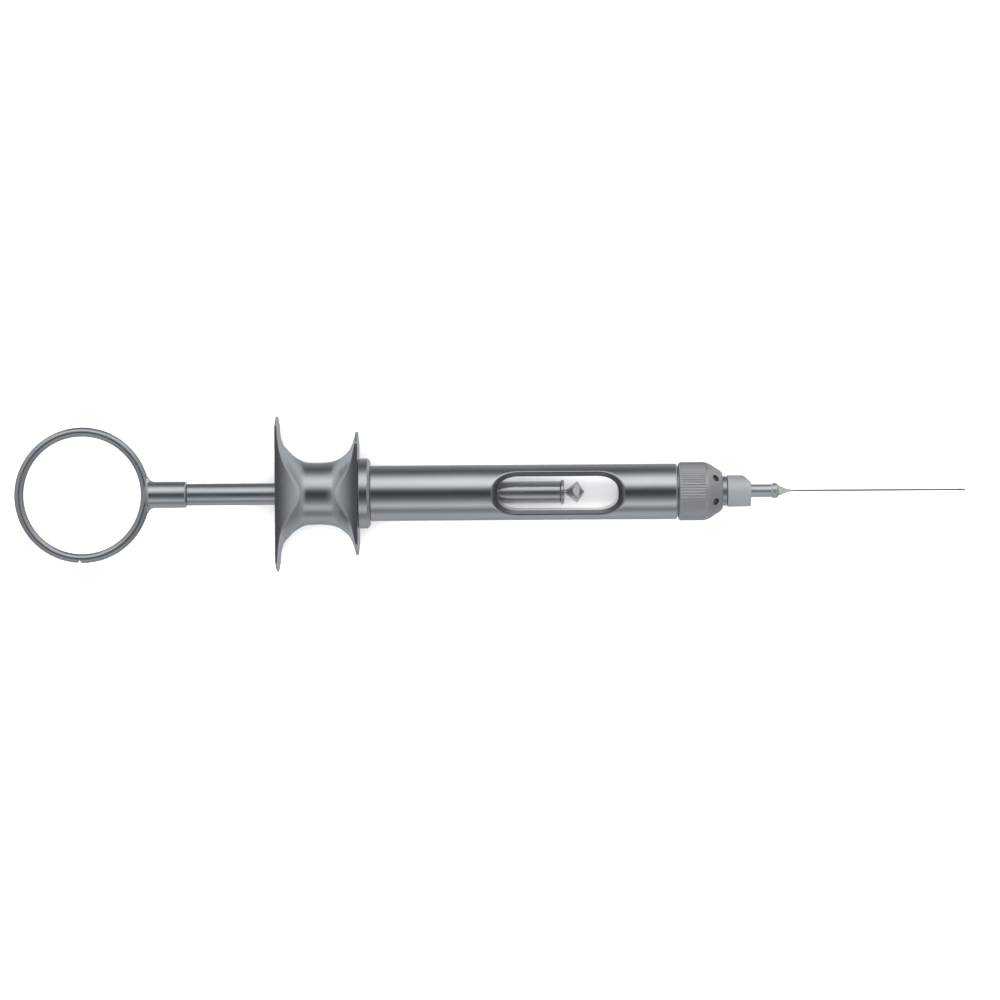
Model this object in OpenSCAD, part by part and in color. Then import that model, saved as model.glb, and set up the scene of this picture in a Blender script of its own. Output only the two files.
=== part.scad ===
// Aspirating dental syringe for glass cartridges, steel, with thumb ring, spool
// grip, windowed barrel, screw-on needle cap and double-ended needle.
// Millimetres. X runs along the syringe with the needle towards +X, Z is up and
// square to the thumb ring. The origin is under the middle of the syringe, on
// the surface that the grip's lower flat lies on.

/* [Thumb ring] */
// Inside diameter of the thumb ring
ring_id = 23.4; // [20:0.1:25]
// Diameter of the ring's round wire
ring_wire_d = 1.9; // [1.5:0.1:2.4]
// Distance from the grip's back face to the ring's centre, plunger at rest
ring_reach = 38.9; // [38.5:0.1:42]
// Width of the seam left where the wire's ends meet
ring_seam_w = 0.9; // [0.4:0.1:1.4]
// Depth of the seam in the wire
ring_seam_d = 0.7; // [0.3:0.1:0.8]

/* [Plunger] */
// Diameter of the shank between ring and rod
shank_d = 5.24; // [4.8:0.02:5.6]
// Distance from the grip's back face to the shank's front end, plunger at rest
shank_reach = 17.9; // [16:0.1:18.4]
// Diameter of the plunger rod
rod_d = 4.36; // [4.2:0.02:4.5]
// Distance from the grip's back face to the rod's front end, plunger at rest
rod_front = 56.8; // [50:0.1:57.4]
// Diameter of the pressure disc on the rod's front end
disc_d = 4.9; // [4.7:0.1:6]
// Thickness of the pressure disc
disc_t = 0.7; // [0.6:0.1:1.2]
// Width of the harpoon's barbs
barb_w = 4.3; // [3.6:0.1:4.4]
// Thickness of the harpoon across its two milled flats
barb_t = 3; // [2.2:0.1:3.4]
// Length of the harpoon ahead of the disc
harpoon_len = 4; // [3.8:0.1:4.3]
// Turn of the harpoon's two flats about the rod's axis
barb_turn = 12; // [0:1:30]

/* [Finger grip] */
// Diameter of the big rear flange
flange_d = 31.2; // [29:0.1:34]
// Diameter of the small front flange
front_flange_d = 24.8; // [23.4:0.1:28]
// Length of the grip
grip_len = 16.4; // [16.3:0.1:17]
// Diameter of the grip's waist
waist_d = 12.4; // [12.2:0.1:13]
// Thickness of the grip across its two flats
flat_t = 14.2; // [14:0.1:16]

/* [Barrel] */
// Outer diameter of the barrel
barrel_d = 11.1; // [11:0.1:11.5]
// Bore of the barrel, a running fit on a glass cartridge
barrel_bore_d = 9; // [8.9:0.05:9.1]
// Distance from the grip's back face to the barrel's front shoulder
barrel_front = 80; // [79.8:0.1:82]
// Diameter of the collar behind the barrel
collar_d = 14; // [13:0.1:15]
// Start of the two windows at the bore, from the grip's back face
win_start = 44.2; // [30:0.1:46]
// Length of the two windows at the bore
win_len = 24; // [18:0.1:26]
// Angle that each window spans round the bore
win_angle = 95; // [70:1:96]
// Turn of the windows about the barrel's axis, towards the right-hand side
win_roll = 4; // [0:1:8]
// Length of the windows' rounded ends
win_r = 4.2; // [2:0.1:4.6]
// How far the windows' ends slope back over the wall's thickness
win_bevel = 1; // [0.2:0.1:1.4]

/* [Needle cap] */
// Diameter over the knurl
cap_d = 11.7; // [11.5:0.1:12.4]
// Number of grooves in the knurl
knurl_n = 64; // [40:4:72]
// Diameter of the cap's front face
cap_nose_d = 7.3; // [7.1:0.1:7.8]
// Diameter of the holes in the cap's shoulder
cap_hole_d = 1.4; // [1:0.1:1.6]

/* [Needle] */
// Diameter of the needle's hub nut
hub_d = 6.3; // [6:0.1:6.8]
// Diameter of the nozzle that holds the cannula
nozzle_d = 2.6; // [2.2:0.1:3]
// Outer diameter of the cannula
cannula_d = 0.4; // [0.3:0.05:0.5]
// Distance from the grip's back face to the cannula's front point
cannula_tip = 137.9; // [120:0.1:145]

/* [Hidden] */

steel = [0.64, 0.66, 0.68];
dull_steel = [0.56, 0.58, 0.60];
dark_steel = [0.42, 0.44, 0.46];
alloy = [0.70, 0.72, 0.73];

// Lengths along the axis are counted from the grip's back face.
ring_R = ring_id / 2 + ring_wire_d / 2;
ring_back = -ring_reach - ring_R - ring_wire_d / 2;
mid_a = (cannula_tip + ring_back) / 2;
axis_z = flat_t / 2;
rod_r = rod_d / 2;
run = 0.06;                         // radial clearance of a running fit
bush_bore_r = rod_r + run;

// the rod's guide, gland and the barrel's socket inside the grip
gland_r = 3.9;
bush_a0 = 3;
ring_gap_a0 = 5.6;
ring_gap_a1 = 7.4;
retainer_a1 = 10;
socket_a0 = 10.4;
thread_r = 5.2;                     // crest of the barrel's two threads
thread_fit = 0.05;
spigot_a0 = 10.8;
collar_a0 = grip_len + 0.05;
collar_a1 = grip_len + 2.35;
barrel_a0 = grip_len + 2.4;

// the barrel's nose and what the cap clamps to it
nose_a1 = barrel_front + 5.4;
nose_bore_r = 4;
cap_a0 = barrel_front + 0.35;
knurl_a1 = cap_a0 + 5.45;
cap_a1 = barrel_front + 9.1;
seat_a = nose_a1 + 0.2;
flange_a1 = seat_a + 1.1;
boss_r = 2.95;
boss_a1 = cap_a1 + 0.95;
nipple_r = 2.4;
nipple_a1 = boss_a1 + 2.9;
needle_hole_r = 0.6;
hub_a0 = boss_a1 + 0.08;
hub_a1 = barrel_front + 14.8;
nozzle_a0 = nipple_a1 + 0.05;
nozzle_a1 = hub_a1 + 5.6;
cannula_a0 = barrel_front - 0.2;

// places a body of revolution, drawn along Z from the grip's back face, on the axis
module on_axis() {
    translate([-mid_a, 0, axis_z]) rotate([0, 90, 0]) children();
}

// a body of revolution from [radius, distance] points
module turned(points) {
    on_axis() rotate_extrude($fn = 96) polygon(points);
}

module bore(r, a0, a1) {
    on_axis() translate([0, 0, a0]) cylinder(r = r, h = a1 - a0, $fn = 96);
}

// Thread run of plain ring grooves: points from a0 to a1, crest r, root r - depth
function grooves(r, depth, pitch, a0, a1) =
    let (n = floor((a1 - a0) / pitch))
    [for (i = [0:n - 1]) each [
        [r - depth, a0 + i * pitch], [r, a0 + (i + 0.35) * pitch],
        [r, a0 + (i + 0.65) * pitch], [r - depth, a0 + (i + 1) * pitch]]];

// Circular fillet points from angle t0 to t1 about a centre at [cr, ca]
function arc(cr, ca, rad, t0, t1, n = 6) =
    [for (i = [0:n]) let (t = t0 + (t1 - t0) * i / n) [cr + rad * cos(t), ca + rad * sin(t)]];

// Smooth curve through a list of points
function spline_at(p, i, t) =
    let (a = p[max(i - 1, 0)], b = p[i], c = p[i + 1], d = p[min(i + 2, len(p) - 1)])
    0.5 * (2 * b + (c - a) * t + (2 * a - 5 * b + 4 * c - d) * t * t
           + (3 * b - a - 3 * c + d) * t * t * t);
function spline(p, n) =
    concat([for (i = [0:len(p) - 2]) for (k = [0:n - 1]) spline_at(p, i, k / n)], [p[len(p) - 1]]);

// ---------------------------------------------------------------- plunger

module ring_torus() {
    translate([-ring_reach - mid_a, 0, axis_z])
        rotate_extrude($fn = 128) translate([ring_R, 0]) circle(d = ring_wire_d, $fn = 48);
}

module thumb_ring() {
    color(steel) difference() {
        ring_torus();
        // seam on the ring's right-hand side
        translate([-ring_reach - mid_a, 0, axis_z]) rotate([0, 0, -92.5])
            translate([ring_R + ring_wire_d / 2 - ring_seam_d, 0, -ring_wire_d])
                linear_extrude(2 * ring_wire_d)
                    polygon([[0, 0], [2, ring_seam_w * 1.4], [2, -ring_seam_w * 1.4]]);
    }
}

module ring_shank() {
    sr = shank_d / 2;
    back = -ring_reach + ring_R;        // wire centre on the axis
    fillet = 1.6;
    color(steel) difference() {
        union() {
            turned(concat([[0, back - 0.2]],
                          arc(sr - 1.2, back + 1.0, 1.2, -90, 0),
                          arc(sr - 0.5, -shank_reach - 0.5, 0.5, 0, 90),
                          [[0, -shank_reach]]));
            // brazed web that runs out along the wire on both sides
            translate([-mid_a, 0, axis_z - 0.6]) linear_extrude(1.2) difference() {
                translate([back, -sr - fillet]) square([ring_wire_d / 2 + 2.4, 2 * (sr + fillet)]);
                for (s = [-1, 1])
                    translate([back + ring_wire_d / 2 + 2.1, s * (sr + 2.1)]) circle(r = 2.1, $fn = 48);
            }
        }
        // saddle for the wire
        ring_torus();
        // inside of the ring stays clear
        translate([-ring_reach - mid_a, 0, 0]) cylinder(r = ring_R, h = 2 * flat_t, $fn = 128);
        // tapped hole for the rod's stud
        bore(1.5, -shank_reach - 5.2, -shank_reach + 1);
    }
}

module plunger_rod() {
    color(steel) difference() {
        turned(concat([[0, -shank_reach - 5]],
                      grooves(1.45, 0.22, 0.5, -shank_reach - 5, -shank_reach - 0.5),
                      [[1.2, -shank_reach], [rod_r - 0.15, -shank_reach], [rod_r, -shank_reach + 0.15],
                       [rod_r, rod_front - 0.15], [rod_r - 0.15, rod_front], [0, rod_front]]));
        bore(1.05, rod_front - 5, rod_front + 1);
    }
}

module pressure_disc() {
    dr = disc_d / 2;
    color(steel) turned([[1.05, rod_front], [dr - 0.15, rod_front], [dr, rod_front + 0.15],
                         [dr, rod_front + disc_t - 0.15], [dr - 0.15, rod_front + disc_t],
                         [1.05, rod_front + disc_t]]);
}

module harpoon() {
    f = rod_front + disc_t;
    br = barb_w / 2;
    barb = [[0.55, f + 0.5], [0.7, f + 0.75], [br - 0.1, f + harpoon_len - 1.55], [br, f + harpoon_len - 1.4]];
    color(dark_steel) intersection() {
        turned(concat([[0, f - 5]], grooves(1, 0.18, 0.4, f - 5, f - disc_t),
                      [[0.82, f - disc_t], [1, f - disc_t + 0.1], [1, f], [0.55, f + 0.02]], barb,
                      [[br - 0.1, f + harpoon_len - 1.25], [0.25, f + harpoon_len], [0, f + harpoon_len]]));
        // the barbs are milled to two flats
        translate([f - mid_a, 0, axis_z]) rotate([-barb_turn, 0, 0]) {
            translate([0, -br - 1, -barb_t / 2]) cube([harpoon_len + 1, 2 * br + 2, barb_t]);
            translate([-6, -br - 1, -br]) cube([6.5, 2 * br + 2, 2 * br]);
        }
    }
}

// ------------------------------------------------------------------ handle

// half profile of the spool: waist between two flares that thin out to their tips
function grip_profile() =
    let (wr = waist_d / 2, fr = flange_d / 2, sr = front_flange_d / 2, g = grip_len,
         outer = spline([[fr - 0.05, 0.38], [fr - 1.7, 0.5], [fr - 3.1, 0.68], [wr + 4.8, 1], [wr + 3.45, 1.56],
                         [wr + 2.45, 2.44], [wr + 1.5, 3.38], [wr + 0.6, 4.7], [wr + 0.12, 6], [wr, 7.6],
                         [wr + 0.02, 9.4], [wr + 0.18, g - 5.5], [wr + 0.4, g - 4.6], [wr + 0.85, g - 3.65],
                         [wr + 1.6, g - 2.65], [wr + 2.4, g - 1.85], [wr + 3.2, g - 1.4], [wr + 3.9, g - 1.1],
                         [wr + 5, g - 0.8], [sr - 0.05, g - 0.5]], 2))
    concat([[fr - 0.15, 0], [fr, 0.15]], outer, [[sr, g - 0.4], [sr, g - 0.12], [sr - 0.12, g], [6.6, g]]);

module finger_grip() {
    color(steel) difference() {
        intersection() {
            turned(concat([[0, 0]], grip_profile(), [[0, grip_len]]));
            translate([-1 - mid_a, -flange_d, 0]) cube([grip_len + 2, 2 * flange_d, flat_t]);
        }
        bore(bush_bore_r, -1, bush_a0 + 1);
        bore(gland_r, bush_a0, socket_a0 + 0.5);
        bore(thread_r + thread_fit, socket_a0, grip_len + 1);
    }
}

module rod_guide_bush() {
    color("goldenrod") turned([[bush_bore_r, bush_a0], [gland_r - 0.25, bush_a0], [gland_r, bush_a0 + 0.25],
                               [gland_r, ring_gap_a0], [bush_bore_r, ring_gap_a0]]);
}

module rod_o_ring() {
    cord = 1.6;
    color([0.1, 0.1, 0.1]) on_axis() translate([0, 0, (ring_gap_a0 + ring_gap_a1) / 2])
        rotate_extrude($fn = 96) translate([rod_r + 0.03 + cord / 2, 0]) circle(d = cord, $fn = 48);
}

module bush_retainer() {
    br = rod_r + 0.1;
    color(dull_steel) difference() {
        turned(concat([[br, ring_gap_a1], [gland_r - 0.3, ring_gap_a1]],
                      grooves(gland_r - 0.02, 0.2, 0.5, ring_gap_a1 + 0.1, retainer_a1 - 0.2),
                      [[gland_r - 0.3, retainer_a1], [br, retainer_a1]]));
        // slots for a two-pin spanner
        translate([retainer_a1 - 0.9 - mid_a, -gland_r - 1, axis_z - 0.5]) cube([2, 2 * gland_r + 2, 1]);
    }
}

module barrel_collar() {
    cr = collar_d / 2;
    color(steel) turned([[thread_r + thread_fit, collar_a0], [cr - 0.1, collar_a0], [cr, collar_a0 + 0.1],
                         [cr, collar_a1 - 0.5], [cr - 0.45, collar_a1 - 0.05], [cr - 0.6, collar_a1],
                         [thread_r + thread_fit, collar_a1]]);
}

// ------------------------------------------------------------------ barrel

// A window's cutter: a slot with rounded ends wrapped round the barrel, whose
// walls slope outwards. Each row of four points is one station: the outline on
// the bore and on the outside are joined by a line and carried on both ways.
module window_cutter() {
    bi = barrel_bore_d / 2;
    ro = barrel_d / 2;
    f_in = win_angle / 2;
    f_out = f_in + 3;
    flat = 6;                           // half angle of the straight part of an end
    x0 = win_start - mid_a;
    x1 = x0 + win_len;
    n = 7;
    ends = [for (i = [0:n]) let (t = 90 * i / n) [win_r * (1 - cos(t)), sin(t)]];
    function rim(r, f, x) = [x, r * sin(f), r * cos(f)];
    function station(e, x, s) =
        let (a = rim(bi, flat + (f_in - flat) * e[1], x + s * e[0]),
             b = rim(ro, flat + (f_out - flat) * e[1], x - s * win_bevel + s * e[0] * (1 + win_bevel / win_r)))
        [a + (a - b) * 1.1, b + (b - a) * 4.2];
    rows = concat([for (e = ends) station(e, x0, 1)], [for (i = [n:-1:0]) station(ends[i], x1, -1)]);
    m = len(rows);
    points = [for (q = rows) each [q[0], q[1], [q[1][0], -q[1][1], q[1][2]], [q[0][0], -q[0][1], q[0][2]]]];
    faces = concat([[0, 1, 2, 3]],
                   [for (i = [0:m - 2]) for (k = [0:3]) let (a = 4 * i + k, b = 4 * i + (k + 1) % 4)
                       each [[a, b + 4, b], [a, a + 4, b + 4]]],
                   [[4 * m - 1, 4 * m - 2, 4 * m - 3, 4 * m - 4]]);
    polyhedron(points = points, faces = faces);
}

module barrel() {
    ro = barrel_d / 2;
    bi = barrel_bore_d / 2;
    color(steel) difference() {
        turned(concat([[bi, spigot_a0], [4.9, spigot_a0]],
                      grooves(thread_r, 0.28, 1, spigot_a0 + 0.1, barrel_a0 - 0.1),
                      [[4.92, barrel_a0], [ro - 0.12, barrel_a0], [ro, barrel_a0 + 0.12],
                       [ro, barrel_front - 0.25], [ro - 0.07, barrel_front - 0.07], [ro - 0.25, barrel_front]],
                      [[4.92, barrel_front]],
                      grooves(thread_r, 0.28, 1, barrel_front + 0.2, nose_a1 - 0.1),
                      [[4.92, nose_a1 - 0.02], [4.85, nose_a1], [nose_bore_r, nose_a1],
                       [nose_bore_r, barrel_front - 1.4], [bi, barrel_front - 1.9]]));
        for (s = [0, 180]) translate([0, 0, axis_z]) rotate([s + win_roll, 0, 0]) window_cutter();
    }
}

// -------------------------------------------------------------- needle cap

module cap_blank() {
    cr = cap_d / 2;
    nr = cap_nose_d / 2;
    shoulder = spline([[cr - 0.12, knurl_a1 + 0.1], [cr - 0.45, knurl_a1 + 0.85], [cr - 1.05, cap_a1 - 1.25],
                       [nr + 0.75, cap_a1 - 0.5], [nr, cap_a1]], 3);
    turned(concat([[0, knurl_a1]], [[cr - 0.12, knurl_a1]], shoulder, [[0, cap_a1]]));
    turned([[0, cap_a0], [cr - 0.3, cap_a0], [cr - 0.12, cap_a0 + 0.18], [cr - 0.12, knurl_a1], [0, knurl_a1]]);
    // knurl: straight grooves along the axis
    on_axis() translate([0, 0, cap_a0 + 0.25]) linear_extrude(knurl_a1 - cap_a0 - 0.4) difference() {
        circle(r = cr, $fn = 96);
        for (i = [0:knurl_n - 1]) rotate(i * 360 / knurl_n) translate([cr, 0]) circle(r = 0.2, $fn = 4);
    }
}

module needle_cap() {
    color(dull_steel) difference() {
        cap_blank();
        // inner thread, seat for the nipple's flange, and front hole
        bore(thread_r + thread_fit, cap_a0 - 1, seat_a + 0.2);
        bore(4.8, seat_a, flange_a1 + 0.1);
        bore(boss_r + 0.08, flange_a1 - 1, cap_a1 + 1);
        // six holes through the shoulder, square to it
        for (i = [0:5]) on_axis() rotate([0, 0, 27 + 60 * i])
            translate([4.75, 0, cap_a1 - 1.35]) rotate([0, 45, 0])
                translate([0, 0, -1.2]) cylinder(d = cap_hole_d, h = 4, $fn = 32);
    }
}

module needle_nipple() {
    color(steel) difference() {
        turned(concat([[0, seat_a], [4.6, seat_a], [4.7, seat_a + 0.1], [4.7, flange_a1 - 0.1],
                       [4.6, flange_a1], [boss_r, flange_a1], [boss_r, boss_a1 - 0.1], [boss_r - 0.1, boss_a1],
                       [nipple_r - 0.25, boss_a1]],
                      grooves(nipple_r, 0.25, 0.75, boss_a1 + 0.3, nipple_a1 - 0.1),
                      [[nipple_r - 0.35, nipple_a1], [0, nipple_a1]]));
        bore(needle_hole_r, seat_a - 1, nipple_a1 + 1);
        // recess for the washer
        bore(3.5, seat_a - 1, seat_a + 0.5);
    }
}

module seat_washer() {
    color("white") turned([[0.5, seat_a - 0.6], [3.35, seat_a - 0.6], [3.5, seat_a - 0.45],
                           [3.5, seat_a + 0.5], [0.5, seat_a + 0.5]]);
}

// ------------------------------------------------------------------ needle

module needle_hub_nut() {
    hr = hub_d / 2;
    nr = nozzle_d / 2;
    color(alloy) difference() {
        turned([[0, hub_a0], [hr - 0.12, hub_a0], [hr, hub_a0 + 0.12], [hr, hub_a1 - 0.12],
                [hr - 0.12, hub_a1], [0, hub_a1]]);
        // flat across the front edge
        translate([hub_a1 - mid_a, hr - 1.5, axis_z - hr]) rotate([0, 0, 45]) translate([0, -3, 0]) cube([6, 8, 2 * hr]);
        bore(nipple_r + 0.05, hub_a0 - 1, hub_a1 - 1.1);
        bore(nr + 0.05, hub_a0, hub_a1 + 1);
    }
}

module needle_nozzle() {
    nr = nozzle_d / 2;
    color(alloy) difference() {
        turned([[0, nozzle_a0], [2.1, nozzle_a0], [2.2, nozzle_a0 + 0.1], [2.2, hub_a1 - 1.15], [nr, hub_a1 - 1.15],
                [nr, nozzle_a1 - 1.5], [nr + 0.2, nozzle_a1 - 1.3], [nr + 0.25, nozzle_a1 - 0.8],
                [nr + 0.2, nozzle_a1 - 0.3], [nr - 0.1, nozzle_a1], [0, nozzle_a1]]);
        bore(cannula_d / 2, nozzle_a0 - 1, nozzle_a1 + 1);
    }
}

module cannula() {
    cr = cannula_d / 2;
    len = cannula_tip - cannula_a0;
    color(alloy) difference() {
        bore(cr, cannula_a0, cannula_tip);
        bore(cr * 0.5, cannula_a0 - 1, cannula_tip + 1);
        // bevel at the point and at the rear end that pierces the cartridge
        translate([cannula_tip - mid_a, 0, axis_z - cr]) rotate([0, 13, 0]) translate([-3, -1, 0]) cube([6, 2, 2]);
        translate([cannula_a0 - mid_a, 0, axis_z - cr]) rotate([0, -20, 0]) translate([-3, -1, 0]) cube([6, 2, 2]);
    }
}

module cannula_glue() {
    color([0.85, 0.86, 0.84]) turned([[cannula_d / 2, nozzle_a1], [nozzle_d / 2 - 0.35, nozzle_a1],
        [nozzle_d / 2 - 0.4, nozzle_a1 + 0.5], [cannula_d / 2 + 0.25, nozzle_a1 + 1.6],
        [cannula_d / 2 + 0.03, nozzle_a1 + 3], [cannula_d / 2, nozzle_a1 + 3]]);
}

thumb_ring();
ring_shank();
plunger_rod();
pressure_disc();
harpoon();
finger_grip();
rod_guide_bush();
rod_o_ring();
bush_retainer();
barrel_collar();
barrel();
needle_cap();
needle_nipple();
seat_washer();
needle_hub_nut();
needle_nozzle();
cannula();
cannula_glue();
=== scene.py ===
# Looks for the aspirating dental syringe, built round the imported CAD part.
import math

import bmesh
import bpy
import numpy as np
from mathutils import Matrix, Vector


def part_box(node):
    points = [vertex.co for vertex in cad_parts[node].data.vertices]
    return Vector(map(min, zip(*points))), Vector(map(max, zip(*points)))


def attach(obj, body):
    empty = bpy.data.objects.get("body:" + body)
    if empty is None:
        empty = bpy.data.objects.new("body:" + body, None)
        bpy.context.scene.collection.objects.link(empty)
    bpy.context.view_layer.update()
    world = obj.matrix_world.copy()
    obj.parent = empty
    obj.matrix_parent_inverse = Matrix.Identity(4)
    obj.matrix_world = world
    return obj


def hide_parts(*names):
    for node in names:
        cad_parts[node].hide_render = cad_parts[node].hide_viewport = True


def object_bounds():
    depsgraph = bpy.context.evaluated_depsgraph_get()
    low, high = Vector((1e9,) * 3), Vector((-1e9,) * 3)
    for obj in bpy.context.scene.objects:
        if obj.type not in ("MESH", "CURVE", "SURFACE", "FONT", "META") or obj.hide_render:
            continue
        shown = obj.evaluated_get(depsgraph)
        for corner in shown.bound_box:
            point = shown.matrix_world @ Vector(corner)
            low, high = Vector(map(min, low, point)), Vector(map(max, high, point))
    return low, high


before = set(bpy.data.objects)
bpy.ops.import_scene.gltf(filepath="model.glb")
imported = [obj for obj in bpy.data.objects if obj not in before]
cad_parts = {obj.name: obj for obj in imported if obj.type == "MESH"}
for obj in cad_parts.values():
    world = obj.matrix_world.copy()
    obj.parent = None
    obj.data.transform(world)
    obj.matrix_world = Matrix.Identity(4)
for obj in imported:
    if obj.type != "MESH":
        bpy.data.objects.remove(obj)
CAD_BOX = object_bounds()

MM = 0.001
A0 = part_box("finger_grip")[0].x                      # the grip's back face
AXIS = 0.5 * (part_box("barrel")[0].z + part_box("barrel")[1].z)
TAU = 2 * math.pi


# ------------------------------------------------------------------ mesh kit

def tidy(name, verts, faces, body, nodes, mat, weld=3e-7, kinds=None):
    """Makes a closed smooth piece from points in mm (a, y, z about the axis)."""
    v = np.asarray(verts, float).reshape(-1, 3)
    co = np.empty_like(v)
    co[:, 0] = v[:, 0] * MM + A0
    co[:, 1] = v[:, 1] * MM
    co[:, 2] = v[:, 2] * MM + AXIS
    me = bpy.data.meshes.new(name)
    me.from_pydata(co.tolist(), [], faces)
    if kinds:
        me.polygons.foreach_set("material_index", kinds)
    bm = bmesh.new()
    bm.from_mesh(me)
    bmesh.ops.remove_doubles(bm, verts=bm.verts, dist=weld)
    bmesh.ops.dissolve_degenerate(bm, edges=bm.edges, dist=1e-8)
    loose = [x for x in bm.verts if not x.link_faces]
    bmesh.ops.delete(bm, geom=loose, context="VERTS")
    bmesh.ops.recalc_face_normals(bm, faces=bm.faces)
    for f in bm.faces:
        f.smooth = True
    bm.to_mesh(me)
    bm.free()
    # normals weighted by face area, so that wide faces stay flat beside their small edge roundings
    nv = len(me.vertices)
    pos = np.empty(nv * 3)
    me.vertices.foreach_get("co", pos)
    acc = np.zeros((nv, 3))
    nf = len(me.polygons)
    fn = np.empty(nf * 3)
    me.polygons.foreach_get("normal", fn)
    fa = np.empty(nf)
    me.polygons.foreach_get("area", fa)
    start = np.empty(nf, int)
    total = np.empty(nf, int)
    me.polygons.foreach_get("loop_start", start)
    me.polygons.foreach_get("loop_total", total)
    li = np.empty(len(me.loops), int)
    me.loops.foreach_get("vertex_index", li)
    owner = np.repeat(np.arange(nf), total)
    w = fn.reshape(-1, 3) * fa[:, None]
    np.add.at(acc, li, w[owner])
    acc /= np.maximum(np.linalg.norm(acc, axis=1), 1e-20)[:, None]
    me.normals_split_custom_set_from_vertices(acc.tolist())
    o = bpy.data.objects.new(name, me)
    bpy.context.scene.collection.objects.link(o)
    for x in (mat if isinstance(mat, (list, tuple)) else [mat]):
        me.materials.append(x)
    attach(o, body)
    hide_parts(*nodes)
    return o


class Shell:
    """Points and quads of one piece, built up from grids."""

    def __init__(self):
        self.v, self.f, self.n, self.k = [], [], 0, []

    def sheet(self, p, wrap=False, kind=0):
        p = np.asarray(p, float)
        rows, cols = p.shape[:2]
        base = self.n
        self.v.append(p.reshape(-1, 3))
        self.n += rows * cols
        last = cols if wrap else cols - 1
        for i in range(rows - 1):
            r0, r1 = base + i * cols, base + (i + 1) * cols
            for j in range(last):
                k = (j + 1) % cols
                self.f.append((r0 + j, r0 + k, r1 + k, r1 + j))
                self.k.append(kind)

    def fan(self, ring, centre, kind=0):
        ring = np.asarray(ring, float)
        base = self.n
        self.v.append(np.vstack([ring, [centre]]))
        m = len(ring)
        self.n += m + 1
        for j in range(m):
            self.f.append((base + j, base + (j + 1) % m, base + m))
            self.k.append(kind)

    def make(self, name, body, slot, nodes, mat, weld=3e-7):
        return tidy(name, np.vstack(self.v), self.f, body, nodes, mat, weld, self.k)


def rounded(pts, rad=0.1, n=3, closed=True, angle=14):
    """Rounds the corners of a profile of (a, r) points; a third number is that corner's own radius."""
    out, m = [], len(pts)
    for i, q in enumerate(pts):
        p = np.array(q[:2], float)
        if not closed and i in (0, m - 1):
            out.append(tuple(p))
            continue
        a = np.subtract(pts[i - 1][:2], p)
        b = np.subtract(pts[(i + 1) % m][:2], p)
        la, lb = np.linalg.norm(a), np.linalg.norm(b)
        if la < 1e-9 or lb < 1e-9:
            continue
        turn = math.degrees(math.acos(max(-1, min(1, float(np.dot(-a, b) / la / lb)))))
        if turn < angle:
            out.append(tuple(p))
            continue
        r = q[2] if len(q) > 2 else rad
        d = min(r, 0.45 * la, 0.45 * lb)
        s, e = p + a / la * d, p + b / lb * d
        for k in range(n + 1):
            t = k / n
            out.append(tuple((1 - t) ** 2 * s + 2 * t * (1 - t) * p + t * t * e))
    return out


def spline(p, n):
    """Smooth curve through points."""
    p = [np.array(x, float) for x in p]
    out = []
    for i in range(len(p) - 1):
        a, b, c, d = p[max(i - 1, 0)], p[i], p[i + 1], p[min(i + 2, len(p) - 1)]
        for k in range(n):
            t = k / n
            out.append(tuple(0.5 * (2 * b + (c - a) * t + (2 * a - 5 * b + 4 * c - d) * t * t
                                    + (3 * b - a - 3 * c + d) * t ** 3)))
    out.append(tuple(p[-1]))
    return out


def helix(crest, depth, pitch, lo, hi, fade=0.5):
    """Radius offset of a right-handed screw thread cut into a crest of that radius."""
    def cut(a, phi, r):
        if r < crest - 0.06 or a < lo or a > hi:
            return 0.0
        s = ((a / pitch) - phi / TAU) % 1.0
        tri = min(1.0, max(0.0, (abs(s - 0.5) * 2 - 0.18) / 0.64))     # 0 in the root, 1 on the crest
        edge = min(1.0, (a - lo) / fade, (hi - a) / fade)
        return -depth * (1 - tri) * max(0.0, edge)
    return cut


def lathe(profile, cols=160, closed=True, cut=None, sh=None, phase=0.0):
    """Turns a profile of (a, r) about the axis."""
    sh = sh or Shell()
    ang = [TAU * j / cols + phase for j in range(cols)]
    rows = []
    for a, r in profile:
        row = []
        for t in ang:
            q = r + (cut(a, t, r) if cut else 0.0)
            row.append((a, q * math.sin(t), q * math.cos(t)))
        rows.append(row)
    if closed:
        rows.append(rows[0])
    sh.sheet(rows, wrap=True)
    return sh


def runs(a0, a1, r, step):
    """Close rows along a cylinder, for a thread."""
    n = max(2, int(round(abs(a1 - a0) / step)))
    return [(a0 + (a1 - a0) * i / n, r) for i in range(n + 1)]


# ----------------------------------------------------------------- materials

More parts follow.
